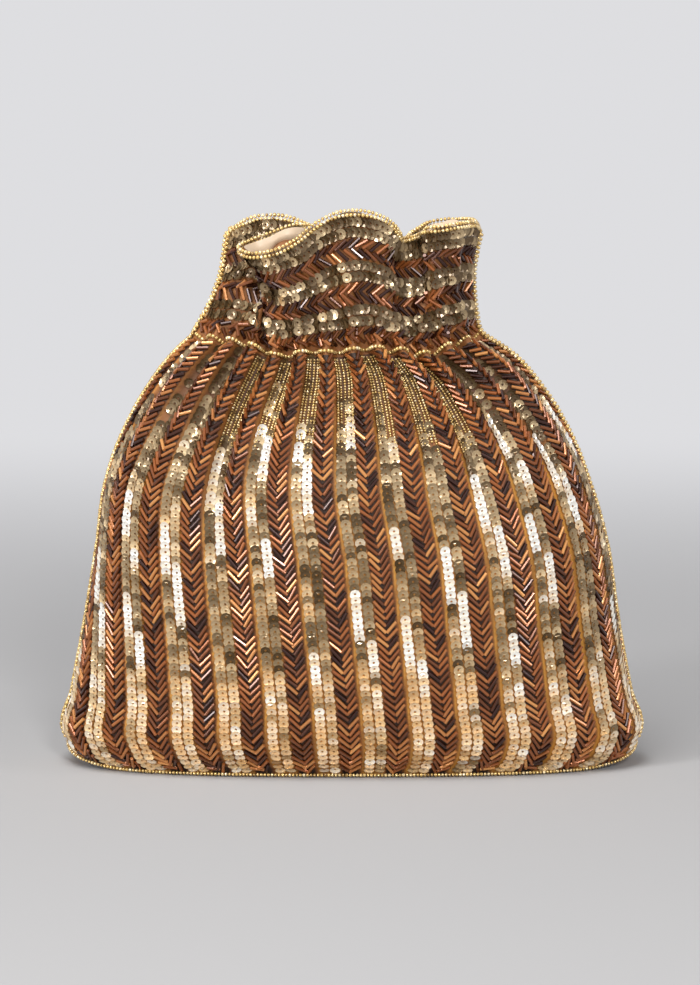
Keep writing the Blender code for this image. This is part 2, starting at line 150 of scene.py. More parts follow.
# How much darker the sequins are painted in the pleats' valleys: painted shade.
SEQUIN_PAINTED_VALLEY_SHADE = 0.25
SEQUIN_LIFT = 0.0005
SEED_RADIUS = 0.0009
SEED_STEP = 1.75
RIM_SEED_INSET = -0.0008
RIM_SEED_RISES = (0.0004, 0.0018)
RIM_SEED_OUT = 0.0012
NECK_SEED_OUT = 0.0002
PLEAT_SEED_OUT = -0.0002
PLEAT_SEED_STARTS = (0.76, 0.81)
PLEAT_SEED_END = 0.995
PLEAT_SEED_RADIUS = 0.0006
PLEAT_SEED_COLUMNS = (-0.0032, -0.0016, 0.0, 0.0016, 0.0032)
SIDE_SEED_RADIUS = 0.001
SIDE_SEED_LINES = ((FRONT, 0.0, 0.0009), (FRONT, 0.0017, 0.0008), (BACK, 0.0017, 0.0008))
FOOT_SEED_RADIUS = 0.0008
FOOT_SEED_MARGIN = 0.002

# Cloth
GROUND_DEPTH = 0.0009
SEAM_EASE = 0.004
MUSTARD_STRIP = -0.0046
STRIP_WIDTH = 0.0010
# The silk's tone under the bugle bands: painted shadow.
BAND_PAINTED_SHADOW = 0.04
PAIR_GROUND = 0.72
PAIR_FADE = 0.3
PAIR_FADE_START = 0.75
PAIR_FADE_REACH = 0.2
# How much darker the silk is painted in the pleats' valleys: painted shade.
GROUND_PAINTED_VALLEY_SHADE = 0.6
FOOT_INSET = 0.93
FOOT_TURN = 0.97
FOOT_TURN_DROP = 0.75
FOOT_TURN_CLEARANCE = 0.0006
BASE_CLEARANCE = 0.0003
FOOT_SEED_OUT = 0.0001
FOOT_SEED_DROP = 0.55
LINING_REACH = 8
LINING_DEPTH = 0.0024
LINING_COLUMNS = 150
LINING_FOOT = 0.006
LINING_FLOOR = 0.0045
LINING_SHOULDER = 0.13
LINING_AT_RIM = 0.003
LINING_DRAW = 0.012
LINING_TOP_SCALE = 0.80
LINING_TOP = 0.15
LINING_SCALE = 0.86
LINING_GROWTH = 0.04
LINING_NECK_SCALE = 0.93
LINING_BLEND = 0.04
LINING_CLOSED = 0.02

# Studio
BACKDROP_COLOUR = (0.73, 0.73, 0.75, 1)
FLOOR_COLOUR = (0.43, 0.425, 0.427, 1)
SWEEP_START = 1.2
SWEEP_RADIUS = 0.9
LIGHT_TARGET = (0, 0, 0.1)
CAMERA_TARGET = (-0.0008, -0.02, 0.1125)
CAMERA_ELEVATION = math.radians(8)
CAMERA_DISTANCE = 1.35

rng = np.random.default_rng(14)


def ease(value):
    value = np.clip(value, 0.0, 1.0)
    return value * value * (3 - 2 * value)


def spline(knots, values, at):
    """A smooth curve through the values at the knots, read at the given places."""
    knots = np.asarray(knots, float)
    values = np.asarray(values, float)
    slopes = np.gradient(values, knots)
    at = np.clip(at, knots[0], knots[-1])
    cell = np.clip(np.searchsorted(knots, at, side="right") - 1, 0, len(knots) - 2)
    width = knots[cell + 1] - knots[cell]
    u = (at - knots[cell]) / width
    return (
        values[cell] * (1 + 2 * u) * (1 - u) ** 2
        + slopes[cell] * width * u * (1 - u) ** 2
        + values[cell + 1] * u * u * (3 - 2 * u)
        + slopes[cell + 1] * width * u * u * (u - 1)
    )


def unit(vectors):
    return vectors / np.maximum(np.linalg.norm(vectors, axis=-1, keepdims=True), 1e-9)


def lengths_along(line):
    """The distance of each point of a line from its start, along the line."""
    return np.concatenate([[0], np.cumsum(np.linalg.norm(np.diff(line, axis=0), axis=1))])


def stripe_middle(stripe):
    return (stripe - (STRIPES + 1) / 2) * PITCH


def left_edge(height):
    return SIDE_CUT * ease((height - CUT_START) / CUT_HEIGHT) - HALF_WIDTH_FLAT


def smooth_ring(height, shares, side):
    """The smooth half section at a height, read at shares of the way round."""
    at = height / NECK_HEIGHT
    half_width = NECK_HALF_WIDTH + (BASE_HALF_WIDTH - NECK_HALF_WIDTH) * spline(
        HEIGHT_SHARES, WIDTH_SHARES, at)
    depths = FRONT_SHARES if side == FRONT else BACK_SHARES
    depth = NECK_HALF_DEPTH + (BELLY_HALF_DEPTH - NECK_HALF_DEPTH) * spline(
        HEIGHT_SHARES, depths, at)
    offset = NECK_OFFSET * spline(HEIGHT_SHARES, OFFSET_SHARES, at)
    power = 2 / spline(HEIGHT_SHARES, SQUARENESS, at)
    turn = np.linspace(math.pi, 0, 400)
    xs = offset + half_width * np.sign(np.cos(turn)) * np.abs(np.cos(turn)) ** power
    ys = side * depth * np.abs(np.sin(turn)) ** power
    run = np.concatenate([[0], np.cumsum(np.hypot(np.diff(xs), np.diff(ys)))])
    lift = ease((at - NECK_RISE_START) / (1 - NECK_RISE_START))
    if side == FRONT:
        rise = spline(np.linspace(0, 1, len(NECK_RISES)), NECK_RISES, shares)
    else:
        rise = NECK_RISES[0] + (NECK_RISES[-1] - NECK_RISES[0]) * shares
    places = shares * run[-1]
    return np.stack([np.interp(places, run, xs), np.interp(places, run, ys),
                     height + rise * lift], axis=-1)


def pleated(height, flat):
    """For places across the flat panel, the share of the way round and the pleat's depth."""
    across = np.linspace(left_edge(height), HALF_WIDTH_FLAT, 1200)
    turn = np.zeros(len(across))
    for stripe in range(2, STRIPES + 1):
        start, full = OTHER_PLEATS.get(stripe, (PLEAT_START, PLEAT_TURN))
        grown = np.clip((height / NECK_HEIGHT - start) / (1 - start), 0, 1) ** PLEAT_GROWTH
        from_middle = (across - stripe_middle(stripe)) / (PITCH / 2)
        turn += full * grown * np.sin(math.pi * from_middle) * (np.abs(from_middle) < 1)
    step = across[1] - across[0]
    along = np.concatenate([[0], np.cumsum(np.cos(turn[:-1]) * step)])
    depth = np.concatenate([[0], np.cumsum(np.sin(turn[:-1]) * step)])
    flat = np.clip(flat, across[0], across[-1])
    return np.interp(flat, across, along) / along[-1], np.interp(flat, across, depth)


class Table:
    """A grid of values over two coordinates, read between its points."""

    def __init__(self, rows, columns, values):
        self.rows, self.columns, self.values = rows, columns, values

    def read(self, row, column):
        row, column = np.broadcast_arrays(np.asarray(row, float), np.asarray(column, float))
        i = np.interp(row, self.rows, np.arange(len(self.rows)))
        j = np.interp(column, self.columns, np.arange(len(self.columns)))
        i0 = np.clip(i.astype(int), 0, len(self.rows) - 2)
        j0 = np.clip(j.astype(int), 0, len(self.columns) - 2)
        u = (i - i0)[..., None]
        v = (j - j0)[..., None]
        t = self.values
        return ((t[i0, j0] * (1 - v) + t[i0, j0 + 1] * v) * (1 - u)
                + (t[i0 + 1, j0] * (1 - v) + t[i0 + 1, j0 + 1] * v) * u)


class Surface:
    """A cloth surface over (up, across), with its directions and outward normal."""

    def __init__(self, ups, flats, points, side, depths=None):
        across = unit(np.gradient(points, axis=1) + 1e-9)
        up = unit(np.gradient(points, axis=0))
        normal = unit(np.cross(across, up) * -side)
        self.flats = flats
        self.place = Table(ups, flats, points)
        self.up = Table(ups, flats, up)
        self.normal = Table(ups, flats, normal)
        if depths is None:
            depths = np.zeros(points.shape[:2])
        self.depth = Table(ups, flats, depths[..., None])

    def sunk(self, up, flat):
        """How deep in a pleat a place is: 0 on a ridge and 1 in the deepest valley. It sets the
        painted shade of the valleys.
        """
        return np.clip(-self.depth.read(up, flat)[..., 0] / DEEP_PLEAT, 0, 1)

    def at(self, up, flat, out=0.0):
        normal = unit(self.normal.read(up, flat))
        return self.place.read(up, flat) + normal * np.asarray(out)[..., None]

    def axes(self, up, flat):
        """Right-handed directions at a place: across, up and out."""
        out = unit(self.normal.read(up, flat))
        rise = self.up.read(up, flat)
        rise = unit(rise - out * np.sum(rise * out, axis=-1, keepdims=True))
        return np.cross(rise, out), rise, out


SHARES = np.linspace(0, 1, 260)
HEIGHTS = np.linspace(0, NECK_HEIGHT, 180)


def smooth_tables(side):
    """The panel's points and outward normals without its pleats."""
    points = np.array([smooth_ring(height, SHARES, side) for height in HEIGHTS])
    across = np.gradient(points, axis=1)
    up = np.gradient(points, axis=0)
    normal = unit(np.cross(across, up) * -side)
    return Table(HEIGHTS, SHARES, points), Table(HEIGHTS, SHARES, normal)


def body_surface(side, place, normal):
    """A panel, from its foot to the neck seam, with its pleats."""
    ups = np.linspace(0, 1, 190)
    flats = np.linspace(-HALF_WIDTH_FLAT, HALF_WIDTH_FLAT, 561)
    rows, depths = [], []
    for up in ups:
        level = NECK_HEIGHT * up
        share, depth = pleated(level, flats)
        depths.append(depth)
        from_end = 1 - np.abs(2 * share - 1)
        low = FOOT_HEIGHT + CORNER_RISE * (1 - np.clip(from_end / CORNER_SHARE, 0, 1)) ** 2
        height = low + (NECK_HEIGHT - NECK_SEAM / 2 - low) * up
        rows.append(place.read(height, share) + unit(normal.read(height, share)) * depth[:, None])
    return Surface(ups, flats, np.array(rows), side, np.array(depths))


def creases(up, flat):
    """Shallow slanting creases across the collar, which fade at its edges and seams."""
    bend = CREASE_BEND * np.sin(CREASE_BEND_COUNT * flat)
    wave = np.sin(CREASE_COUNT * flat + CREASE_SLANT * up + bend)
    wave += WIDE_CREASE * np.sin(
        WIDE_CREASE_COUNT * flat + WIDE_CREASE_SLANT * up + WIDE_CREASE_START)
    fade = np.sin(math.pi * np.clip(up, 0, 1)) ** 0.7
    from_seam = np.minimum(flat - left_edge(NECK_HEIGHT), HALF_WIDTH_FLAT - flat)
    return CREASE_DEPTH * (wave - CREASE_SINK) / 2 * fade * np.clip(from_seam / CREASE_EDGE, 0, 1)


def collar_surface(side, place, normal):
    """The collar on one side, from the pleats at the neck seam to the lobes of the rim."""
    knots_at = RIM_FRONT if side == FRONT else RIM_BACK
    route = np.array(knots_at) * [RIM_HALF_WIDTH, RIM_HALF_DEPTH, 1] + [0, 0, RIM_HEIGHT]
    knots = lengths_along(route)
    at = np.linspace(0, knots[-1], 900)
    dense = np.array([spline(knots, route[:, axis], at) for axis in range(3)]).T
    run = lengths_along(dense)
    left = left_edge(NECK_HEIGHT)
    flats = np.linspace(left, HALF_WIDTH_FLAT, 521)
    ups = np.linspace(0, COLLAR_LENGTH, 80)
    along = (flats - left) / (HALF_WIDTH_FLAT - left) * run[-1]
    rim = np.stack([np.interp(along, run, dense[:, axis]) for axis in range(3)], axis=-1)
    share, depth = pleated(NECK_HEIGHT, flats)
    neck = place.read(NECK_HEIGHT, share)
    pleat = unit(normal.read(NECK_HEIGHT, share)) * depth[:, None]
    rows = []
    for length in ups:
        up = length / COLLAR_LENGTH
        foot = neck + pleat * (1 - up) ** PLEAT_FADE
        foot[:, 2] += NECK_SEAM / 2
        row = foot + (rim - foot) * up
        row[:, :2] *= 1 - WAIST_PINCH * math.sin(math.pi * up)
        rows.append(row)
    plain = Surface(ups, flats, np.array(rows), side)
    grid_ups, grid_flats = np.meshgrid(ups, flats, indexing="ij")
    crease = creases(grid_ups / COLLAR_LENGTH, grid_flats)
    points = plain.at(grid_ups, grid_flats, crease)
    # The creases' hollows, doubled, set how much painted shade the collar's beads get.
    return Surface(ups, flats, points, side, np.minimum(crease, 0) * 2)


def socket(shader, name, value):
    shader.inputs[name].default_value = value


def make_material(name, colours, roughness, metallic, coat=0.0, sheen=0.0, bump=None):
    """A finish whose colour follows each bead's tone between the given colours."""
    material = bpy.data.materials.new(name)
    material.use_nodes = True
    nodes, links = material.node_tree.nodes, material.node_tree.links
    shader = nodes["Principled BSDF"]
    socket(shader, "Roughness", roughness)
    socket(shader, "Metallic", metallic)
    socket(shader, "Coat Weight", coat)
    socket(shader, "Coat Roughness", 0.12)
    socket(shader, "Sheen Weight", sheen)
    tone = nodes.new("ShaderNodeAttribute")
    tone.attribute_name = "tone"
    ramp = nodes.new("ShaderNodeValToRGB")
    elements = ramp.color_ramp.elements
    for index, colour in enumerate(colours):
        place = index / (len(colours) - 1)
        if index < 2:
            element = elements[index]
            element.position = place
        else:
            element = elements.new(place)
        element.color = (*colour, 1)
    links.new(tone.outputs["Fac"], ramp.inputs["Fac"])
    links.new(ramp.outputs["Color"], shader.inputs["Base Color"])
    if bump:
        scale, strength, distance = bump
        where = nodes.new("ShaderNodeTexCoord")
        noise = nodes.new("ShaderNodeTexNoise")
        noise.inputs["Scale"].default_value = scale
        noise.inputs["Detail"].default_value = 3
        bumped = nodes.new("ShaderNodeBump")
        bumped.inputs["Strength"].default_value = strength
        bumped.inputs["Distance"].default_value = distance
        links.new(where.outputs["Object"], noise.inputs["Vector"])
        links.new(noise.outputs["Fac"], bumped.inputs["Height"])
        links.new(bumped.outputs["Normal"], shader.inputs["Normal"])
    return material


# The ramps' dark ends carry painted shade and shadow; the sequins' white end carries painted
# highlights.
MATERIALS = {
    "bugle_beads": make_material(
        "copper_bugles", [(0.035, 0.008, 0.003), (0.33, 0.1, 0.025), (0.7, 0.32, 0.1)],
        0.2, 0.35, coat=0.3),
    "sequins": make_material(
        "champagne_sequins", [(0.13, 0.08, 0.035), (0.88, 0.66, 0.38), (1.0, 0.98, 0.92)],
        0.22, 0.4, coat=0.2),
    "seed_beads": make_material(
        "gold_seed_beads", [(0.3, 0.17, 0.04), (0.75, 0.5, 0.16), (0.95, 0.8, 0.5)],
        0.15, 0.35, coat=0.8),
    "ground": make_material(
        "mustard_silk", [(0.012, 0.004, 0.002), (0.28, 0.1, 0.02), (0.66, 0.31, 0.05)],
        0.55, 0.0, sheen=0.05, bump=(2500, 0.5, 0.0004)),
    "satin": make_material(
        "beige_satin", [(0.5, 0.36, 0.23), (0.72, 0.57, 0.41)],
        0.38, 0.0, sheen=0.4, bump=(900, 0.15, 0.0004)),
}


def make_piece(name, points, faces, material, nodes, tones=None, smooth=True):
    """A piece of the bag from points and faces, with a tone for each point."""
    mesh = bpy.data.meshes.new(name)
    mesh.from_pydata(points.tolist(), [], faces)
    if tones is None:
        tones = np.full(len(points), 0.5)
    attribute = mesh.attributes.new("tone", "FLOAT", "POINT")
    attribute.data.foreach_set("value", np.asarray(tones, np.float32))
    mesh.polygons.foreach_set("use_smooth", np.full(len(mesh.polygons), smooth))
    mesh.materials.append(MATERIALS[material])
    obj = bpy.data.objects.new(name, mesh)
    bpy.context.scene.collection.objects.link(obj)
    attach(obj, "root")
    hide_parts(*nodes)
    return obj


def copies(shape, faces, origins, axes, sizes):
    """One copy of a small shape for each origin, turned to its axes and sized."""
    points = np.einsum("nk,mk,mkj->mnj", shape, sizes, np.stack(axes, axis=1))
    points += origins[:, None, :]
    count = len(shape)
    many = [tuple(i + count * m for i in face) for m in range(len(origins)) for face in faces]
    return points.reshape(-1, 3), many


def bugle_shape(sides=8):
    turn = np.arange(sides) * 2 * math.pi / sides
    ring = np.stack([np.zeros(sides), np.cos(turn), np.sin(turn)], axis=-1)
    points = np.concatenate([ring - [0.5, 0, 0], ring + [0.5, 0, 0]])
    faces = [(i, (i + 1) % sides, sides + (i + 1) % sides, sides + i) for i in range(sides)]
    faces.append(tuple(range(sides))[::-1])
    faces.append(tuple(range(sides, 2 * sides)))
    return points, faces


def sequin_shape(sides=10):
    """A cup sequin that opens outward, with a small hole in the middle."""
    turn = np.arange(sides) * 2 * math.pi / sides
    ring = np.stack([np.cos(turn), np.sin(turn), np.zeros(sides)], axis=-1)
    points = np.concatenate([ring, ring * 0.55 - [0, 0, 0.2], ring * 0.22 - [0, 0, 0.24]])
    faces = []
    for low in (0, sides):
        for i in range(sides):
            j = (i + 1) % sides
            faces.append((low + i, low + j, low + sides + j, low + sides + i))
    return points, faces


def seed_shape(sides=6):
    """A round bead, a little flattened along its thread."""
    turn = np.arange(sides) * 2 * math.pi / sides
    points = [(0, 0, -0.85)]
    for height in (-0.42, 0.42):
        points += [(0.87 * math.cos(t), 0.87 * math.sin(t), height) for t in turn]
    points.append((0, 0, 0.85))
    last = len(points) - 1
    faces = []
    for i in range(sides):
        j = (i + 1) % sides
        faces.append((0, 1 + j, 1 + i))
        faces.append((1 + i, 1 + j, 1 + sides + j, 1 + sides + i))
        faces.append((last, 1 + sides + i, 1 + sides + j))
    return np.array(points), faces


def turned(axes, angle):
    """The axes with the first two turned about the third."""
    cos, sin = np.cos(angle)[:, None], np.sin(angle)[:, None]
    across, up, out = axes
    return across * cos + up * sin, up * cos - across * sin, out


def tilted(axes, angle_up, angle_across):
    """The axes tipped so that the third leans up and across by small angles."""
    across, up, out = axes
    out = unit(out + up * np.tan(angle_up)[:, None] + across * np.tan(angle_across)[:, None])
    up = unit(up - out * np.sum(up * out, axis=-1, keepdims=True))
    return np.cross(up, out), up, out


def evenly(surface, flat, start, end, spacing):
    """Places up a surface at one place across, a spacing apart along the cloth."""
    ups = np.linspace(start, end, 400)
    line = surface.at(ups, flat)
    run = lengths_along(line)
    count = max(int(run[-1] / spacing), 1)
    return np.interp((np.arange(count) + 0.5) / count * run[-1], run, ups)


def evenly_across(surface, up, spacing, margin):
    """Places across a surface at one height, a spacing apart along the cloth."""
    flats = np.linspace(surface.flats[0] + margin, surface.flats[-1] - margin, 900)
    line = surface.at(up, flats)
    run = lengths_along(line)
    count = int(run[-1] / spacing)
    return np.interp((np.arange(count) + 0.5) / count * run[-1], run, flats)


def squeeze(surface, up, flat):
    """How far the cloth is gathered across at a place: 1 where it lies flat."""
    step = 0.004
    width = np.linalg.norm(surface.at(up, flat + step) - surface.at(up, flat - step), axis=-1)
    return np.clip(width / (2 * step), 0.62, 1.0)


class Heap:
    """Copies of one small shape, which become one piece."""

    def __init__(self, shape, faces):
        self.shape, self.faces = shape, faces
        self.points, self.all_faces, self.tones = [], [], []
        self.total = 0

    def add(self, origins, axes, sizes, tones):
        some, some_faces = copies(self.shape, self.faces, origins, axes, sizes)
        self.points.append(some)
        self.all_faces += [tuple(i + self.total for i in face) for face in some_faces]
        self.total += len(some)
        self.tones.append(np.repeat(np.clip(tones, 0, 1), len(self.shape)))

    def piece(self, name, slot, nodes, smooth=False):
        return make_piece(name, np.concatenate(self.points), self.all_faces, slot,
                          nodes, np.concatenate(self.tones), smooth)


def add_bugles(name, groups, nodes):
    """Bugle beads in groups of one slant: surface, places, angle, lengths and middle tone."""
    heap = Heap(*bugle_shape())
    for surface, ups, flats, angle, shrink, middle in groups:
        axes = surface.axes(ups, flats)
        angle = angle + rng.normal(0, BUGLE_JITTER, len(ups))
        axes = tilted(turned(axes, angle), rng.normal(0, 0.03, len(ups)),
                      rng.normal(0, 0.05, len(ups)))
        origins = surface.at(ups, flats, -0.0001 + rng.normal(0, 0.0001, len(ups)))
        length = BUGLE_LENGTH * shrink * rng.uniform(0.94, 1.04, len(ups))
        sizes = np.stack([length, np.full(len(ups), BUGLE_RADIUS),
                          np.full(len(ups), BUGLE_RADIUS)], axis=-1)
        tone = rng.normal(middle, BUGLE_TONE_SPREAD, len(ups))
        # Painted shade: bugles in a pleat's valley are made darker.
        tone = tone - BUGLE_PAINTED_VALLEY_SHADE * surface.sunk(ups, flats)
        heap.add(origins, axes, sizes, tone)
    return heap.piece(name, "bugle_beads", nodes)


def add_sequins(name, groups, nodes):
    """Cup sequins in columns of one lean: surface, places, both leans and middle tone."""
    heap = Heap(*sequin_shape())
    for surface, ups, flats, lean_up, lean_across, middle in groups:
        axes = surface.axes(ups, flats)
        axes = tilted(axes, lean_up + rng.normal(0, SEQUIN_JITTER, len(ups)),
                      lean_across + rng.normal(0, SEQUIN_JITTER, len(ups)))
        axes = turned(axes, rng.uniform(0, 6.28, len(ups)))
        origins = surface.at(ups, flats, SEQUIN_LIFT)
        size = SEQUIN_RADIUS * rng.uniform(0.95, 1.05, len(ups))
        tone = middle + rng.normal(0, SEQUIN_TONE_SPREAD, len(ups))
        # Painted shade: sequins in a pleat's valley are made darker.
        tone = tone - SEQUIN_PAINTED_VALLEY_SHADE * surface.sunk(ups, flats)
        heap.add(origins, axes, np.stack([size] * 3, axis=-1), tone)
    return heap.piece(name, "sequins", nodes)


def add_seeds(name, lines, nodes, radius=SEED_RADIUS):
    """Seed beads along lines of points, each threaded along its line."""
    heap = Heap(*seed_shape())
    for line in lines:
        run = lengths_along(line)
        count = int(run[-1] / (SEED_STEP * radius))
        at = (np.arange(count) + 0.5) / count * run[-1]
        origins = np.stack([np.interp(at, run, line[:, k]) for k in range(3)], axis=-1)
        ahead = np.stack([np.interp(at + 0.0004, run, line[:, k]) for k in range(3)], axis=-1)
        along = unit(ahead - origins + [0, 0, 1e-7])
        aside = unit(np.cross(along, [0.31, 0.2, 0.93]))
        axes = (aside, np.cross(along, aside), along)
        size = radius * rng.uniform(0.88, 1.08, count)
        heap.add(origins, axes, np.stack([size] * 3, axis=-1), rng.normal(0.5, 0.2, count))
    return heap.piece(name, "seed_beads", nodes, smooth=True)


def grid_faces(rows, columns, flip):
    """The faces of a grid of points, turned over for the side that faces back."""
    faces = []
    for i in range(rows - 1):
        for j in range(columns - 1):
            a = i * columns + j
            quad = (a, a + 1, a + columns + 1, a + columns)
            faces.append(quad[::-1] if flip else quad)
    return faces


bodies, collars = {}, {}
for side in (FRONT, BACK):
    smooth = smooth_tables(side)
    bodies[side] = body_surface(side, *smooth)
    collars[side] = collar_surface(side, *smooth)

BODY_UPS = np.linspace(0, 1, 116)
BODY_FLATS = np.linspace(-HALF_WIDTH_FLAT, HALF_WIDTH_FLAT, 211)


def tucked(flats, edges, depth):
    """A depth under the beads that fades out at the side seams, where two cloths meet."""
    from_seam = np.minimum(flats - edges, HALF_WIDTH_FLAT - flats)
    return -depth * np.clip(from_seam / SEAM_EASE, 0, 1)


def painted_ground_shadow(ups, flats):
    """Painted shadow: dark under the bugle bands, with the mustard silk showing only in a lit
    strip at the left edge of each sequin pair and, darker towards the neck, under the pairs.
    """
    nearest = np.round(flats / PITCH + (STRIPES + 1) / 2)
    across = flats - (nearest - (STRIPES + 1) / 2) * PITCH
    strip = np.exp(-((across - MUSTARD_STRIP) / STRIP_WIDTH) ** 2)
    fade = PAIR_FADE * ease((ups - PAIR_FADE_START) / PAIR_FADE_REACH)
    pair = (PAIR_GROUND - fade) * (np.abs(across) < -MUSTARD_STRIP)
    return np.clip(np.maximum(strip, pair), BAND_PAINTED_SHADOW, 1)


def turned_under(row, inset, drop, clearance):
    """A copy of the foot's row, drawn in and lowered, but no lower than the clearance."""
    row = row.copy()
    row[:, 1] *= inset
    row[:, 2] = np.maximum(row[:, 2] - drop, clearance)
    return row


def body_cloth(side):
    """A panel's silk ground, a little under its beads. The back's has the base as well."""
    surface = bodies[side]
    ups, flats = np.meshgrid(BODY_UPS, BODY_FLATS, indexing="ij")
    edges = np.array([left_edge(NECK_HEIGHT * up) for up in BODY_UPS])[:, None]
    share = (flats + HALF_WIDTH_FLAT) / (2 * HALF_WIDTH_FLAT)
    flats = edges + share * (HALF_WIDTH_FLAT - edges)
    points = surface.at(ups, flats, tucked(flats, edges, GROUND_DEPTH))
    rows = list(points)
    under = turned_under(rows[0], FOOT_TURN, FOOT_HEIGHT * FOOT_TURN_DROP, FOOT_TURN_CLEARANCE)
    lower = turned_under(rows[0], FOOT_INSET, FOOT_HEIGHT, BASE_CLEARANCE)
    rows = [lower, under] + rows
    if side == BACK:
        front = bodies[FRONT].at(0.0, flats[0], tucked(flats[0], edges[0], GROUND_DEPTH))
        front = turned_under(front, FOOT_INSET, FOOT_HEIGHT, BASE_CLEARANCE)
        steps = np.linspace(0, 1, 9)[:-1]
        rows = [front + (lower - front) * step for step in steps] + rows
    points = np.array(rows)
    faces = grid_faces(len(rows), len(BODY_FLATS), side == BACK)
    # Painted shade: the silk is made darker in the pleats' valleys.
    tones = painted_ground_shadow(ups, flats) * (1 - GROUND_PAINTED_VALLEY_SHADE * surface.sunk(ups, flats))
    tones = np.concatenate([np.repeat(tones[:1], len(rows) - len(ups), axis=0), tones])
    return make_piece(f"{WORDS[side]}_cloth", points.reshape(-1, 3), faces,
                      "ground", [f"{WORDS[side]}_panel"], tones.ravel())


def body_bugles(side):
    """Two slanted columns of bugle beads in each band between the sequins."""
    surface = bodies[side]
    groups = []
    for stripe in range(1, STRIPES + 1):
        band = stripe_middle(stripe) + PITCH / 2 + BAND_SHIFT
        for way in (-1, 1) if stripe < STRIPES else (-1,):
            flat = band + way * BUGLE_COLUMN
            ups = evenly(surface, flat, 0.0, 1.0, BUGLE_SPACING)
            edge = np.array([left_edge(NECK_HEIGHT * up) for up in ups])
            ups = ups[edge + BAND_MARGIN < flat]
            flats = np.full(len(ups), flat)
            shrink = squeeze(surface, ups, flats)
            groups.append((surface, ups, flats, way * BUGLE_SLANT, shrink, BUGLE_TONE))
    word = WORDS[side]
    return add_bugles(f"{word}_bugles", groups, [f"{word}_panel"])


def sequin_tone(ups, flat, way):
    """Cream near the foot, khaki above, with runs of painted highlights: sequins made near white
    as if light glinted off them.
    """
    phase = 40 * flat + way * 1.3
    # The runs of near-white sequins are painted highlights.
    runs = np.sin(9 * ups + 7.3 * phase) + np.sin(23 * ups + 3.1 * phase + 1.7)
    painted_highlight = ease((runs - 0.62) / 0.4) * ease((0.92 - ups) / 0.1)
    low = ease((0.27 - ups) / 0.07)
    khaki = SEQUIN_KHAKI_TONE + (1 - SEQUIN_KHAKI_TONE) * painted_highlight
    return khaki * (1 - low) + SEQUIN_FOOT_TONE * low


def body_sequins(side):
    """The double sequin columns, thinner in the pleats near the neck."""
    surface = bodies[side]
    groups = []
    for stripe in range(1, STRIPES + 1):
        for way in (-1, 1):
            flat = stripe_middle(stripe) + way * SEQUIN_COLUMN
            ups = evenly(surface, flat, 0.0, 1.0, SEQUIN_SPACING)
            edge = np.array([left_edge(NECK_HEIGHT * up) for up in ups])
            ups = ups[edge + SEQUIN_MARGIN < flat]
            hidden = ease((ups - 0.76) / 0.1) * (0.7 if stripe in SUNKEN_STRIPES else 0.15)
            ups = ups[rng.random(len(ups)) > hidden]
            middle = sequin_tone(ups, flat, way)
            groups.append((surface, ups, np.full(len(ups), flat), -SEQUIN_TILT, 0.0, middle))
    word = WORDS[side]
    nodes = [f"sequin_row_{word}_{stripe:02d}" for stripe in range(1, STRIPES + 1)]
    return add_sequins(f"{word}_sequins", groups, nodes)


def collar_cloth(side):
    """The collar's silk ground, whose first row is the panel's last."""
    surface = collars[side]
    ups, flats = np.meshgrid(np.linspace(0, COLLAR_LENGTH, 34),
                             np.linspace(surface.flats[0], surface.flats[-1], 180), indexing="ij")
    points = surface.at(ups, flats, tucked(flats, surface.flats[0], GROUND_DEPTH))
    points[0] = bodies[side].at(1.0, flats[0], tucked(flats[0], surface.flats[0], GROUND_DEPTH))
    faces = grid_faces(34, 180, side == BACK)
    return make_piece(f"collar_{WORDS[side]}_cloth", points.reshape(-1, 3), faces,
                      "ground", [f"collar_{WORDS[side]}"])


def collar_bugles(side):
    """Herringbone bands of bugle beads round the collar, between its sequins."""
    surface = collars[side]
    groups = []
    for low, high in zip(COLLAR_BUGLE_STARTS, COLLAR_BANDS):
        middle, reach = (low + high) / 2, (high - low) / 2
        for way in (-1, 1):
            up = middle + way * reach * 0.46
            flats = evenly_across(surface, up, BUGLE_SPACING, COLLAR_BUGLE_MARGIN)
            ups = np.full(len(flats), up)
            angle = way * (math.pi / 2 - BUGLE_SLANT)
            shrink = np.full(len(flats), min(reach / COLLAR_BUGLE_REACH, 1.0) * 0.96)
            # The collar's bugles get a low tone: painted shade of the collar's folds.
            groups.append((surface, ups, flats, angle, shrink, COLLAR_BUGLE_SHADED_TONE))
    word = WORDS[side]
    return add_bugles(f"collar_{word}_bugles", groups, [f"collar_{word}"])


def collar_sequins(side):
    """Three double rows of sequins round the collar."""
    surface = collars[side]
    groups = []
    for low in COLLAR_BANDS:
        for way in (-1, 1):
            up = low + SEQUIN_WIDTH / 2 + way * SEQUIN_COLUMN
            flats = evenly_across(surface, up, SEQUIN_SPACING, COLLAR_SEQUIN_MARGIN)
            ups = np.full(len(flats), up)
            # The collar's sequins get a low tone: painted shade of the collar's folds.
            groups.append((surface, ups, flats, 0.0, -SEQUIN_TILT, COLLAR_SEQUIN_SHADED_TONE))
    word = WORDS[side]
    nodes = [f"collar_sequins_{word}_{place}" for place in ("low", "middle", "top")]
    return add_sequins(f"collar_{word}_sequins", groups, nodes)


def drawn_in(points, side):
    """A row moved in to the depth of its deepest neighbours, clear of every fold."""
    outward = side * points[:, 1]
    padded = np.pad(outward, LINING_REACH, mode="edge")
    windows = np.lib.stride_tricks.sliding_window_view(padded, 2 * LINING_REACH + 1)
    row = points.copy()
    row[:, 1] = side * np.maximum(windows.min(axis=1) - LINING_DEPTH, 0)
    ends = ease(np.minimum(np.arange(len(row)), np.arange(len(row))[::-1]) / LINING_REACH)
    row[:, 1] = row[:, 1] * ends + points[:, 1] * (1 - ends)
    return row


